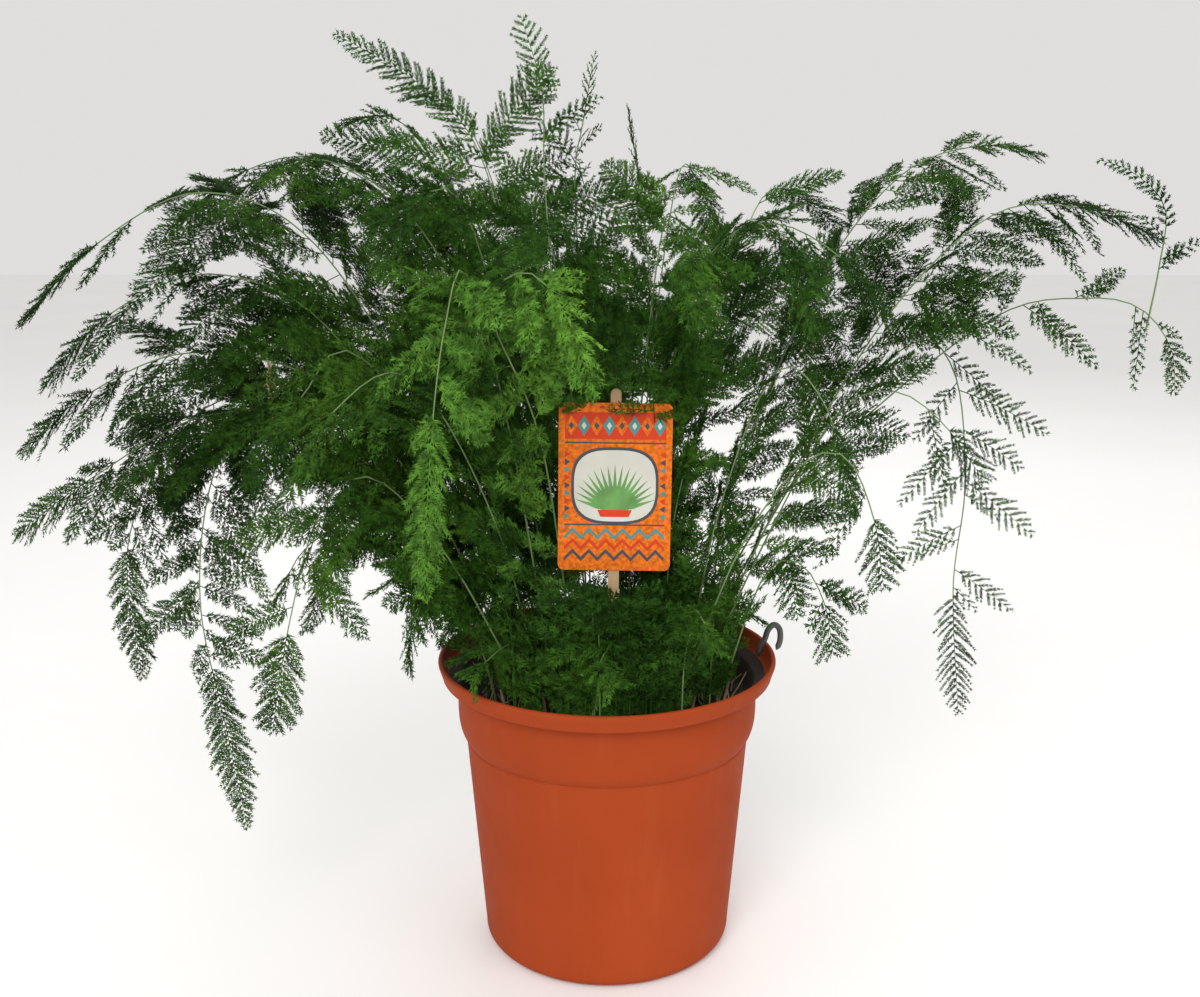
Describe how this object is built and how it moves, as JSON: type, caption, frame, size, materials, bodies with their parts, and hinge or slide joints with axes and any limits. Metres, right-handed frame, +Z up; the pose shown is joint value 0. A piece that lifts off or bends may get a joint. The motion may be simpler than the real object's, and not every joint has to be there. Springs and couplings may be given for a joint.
{
  "type": "potted lace fern",
  "caption": "Lace fern of thin arching stems with flat feathery sprays, in a round tapered plastic pot with a flared lip, filled with potting mix, with a label card on a stake",
  "frame": {"origin": "centre of the pot's flat underside, on the surface that the pot stands on", "axes": "+Z up, +X to the right and -Y towards the viewer as in the picture; the foliage is widest along X"},
  "size_m": [0.7939, 0.5419, 0.65],
  "materials": {
    "terracotta_plastic": "satin",
    "potting_mix": "rough",
    "label_print": "satin",
    "stake_beige": "matte",
    "hook_grey": "satin",
    "fern_green": "satin"
  },
  "bodies": {
    "root": {"pot": "terracotta_plastic", "potting_mix": "potting_mix", "label_card": "label_print", "label_stake": "stake_beige", "rim_hook": "hook_grey", "stem_01": "fern_green", "stem_02": "fern_green", "stem_03": "fern_green", "stem_04": "fern_green", "stem_05": "fern_green", "stem_06": "fern_green", "stem_07": "fern_green", "stem_08": "fern_green", "stem_09": "fern_green", "stem_10": "fern_green", "stem_11": "fern_green", "stem_12": "fern_green", "stem_13": "fern_green", "stem_14": "fern_green", "stem_15": "fern_green", "stem_16": "fern_green", "stem_17": "fern_green", "stem_18": "fern_green", "stem_19": "fern_green", "stem_20": "fern_green", "stem_21": "fern_green", "stem_22": "fern_green", "stem_23": "fern_green", "stem_24": "fern_green", "stem_25": "fern_green", "stem_26": "fern_green", "stem_27": "fern_green", "stem_28": "fern_green", "stem_29": "fern_green", "stem_30": "fern_green", "stem_31": "fern_green", "stem_32": "fern_green", "stem_33": "fern_green", "stem_34": "fern_green", "stem_35": "fern_green", "stem_36": "fern_green", "stem_37": "fern_green", "stem_38": "fern_green", "stem_39": "fern_green", "stem_40": "fern_green", "stem_41": "fern_green", "stem_42": "fern_green", "stem_43": "fern_green", "stem_44": "fern_green", "stem_45": "fern_green", "stem_46": "fern_green", "stem_47": "fern_green", "stem_48": "fern_green"}
  },
  "joints": []
}
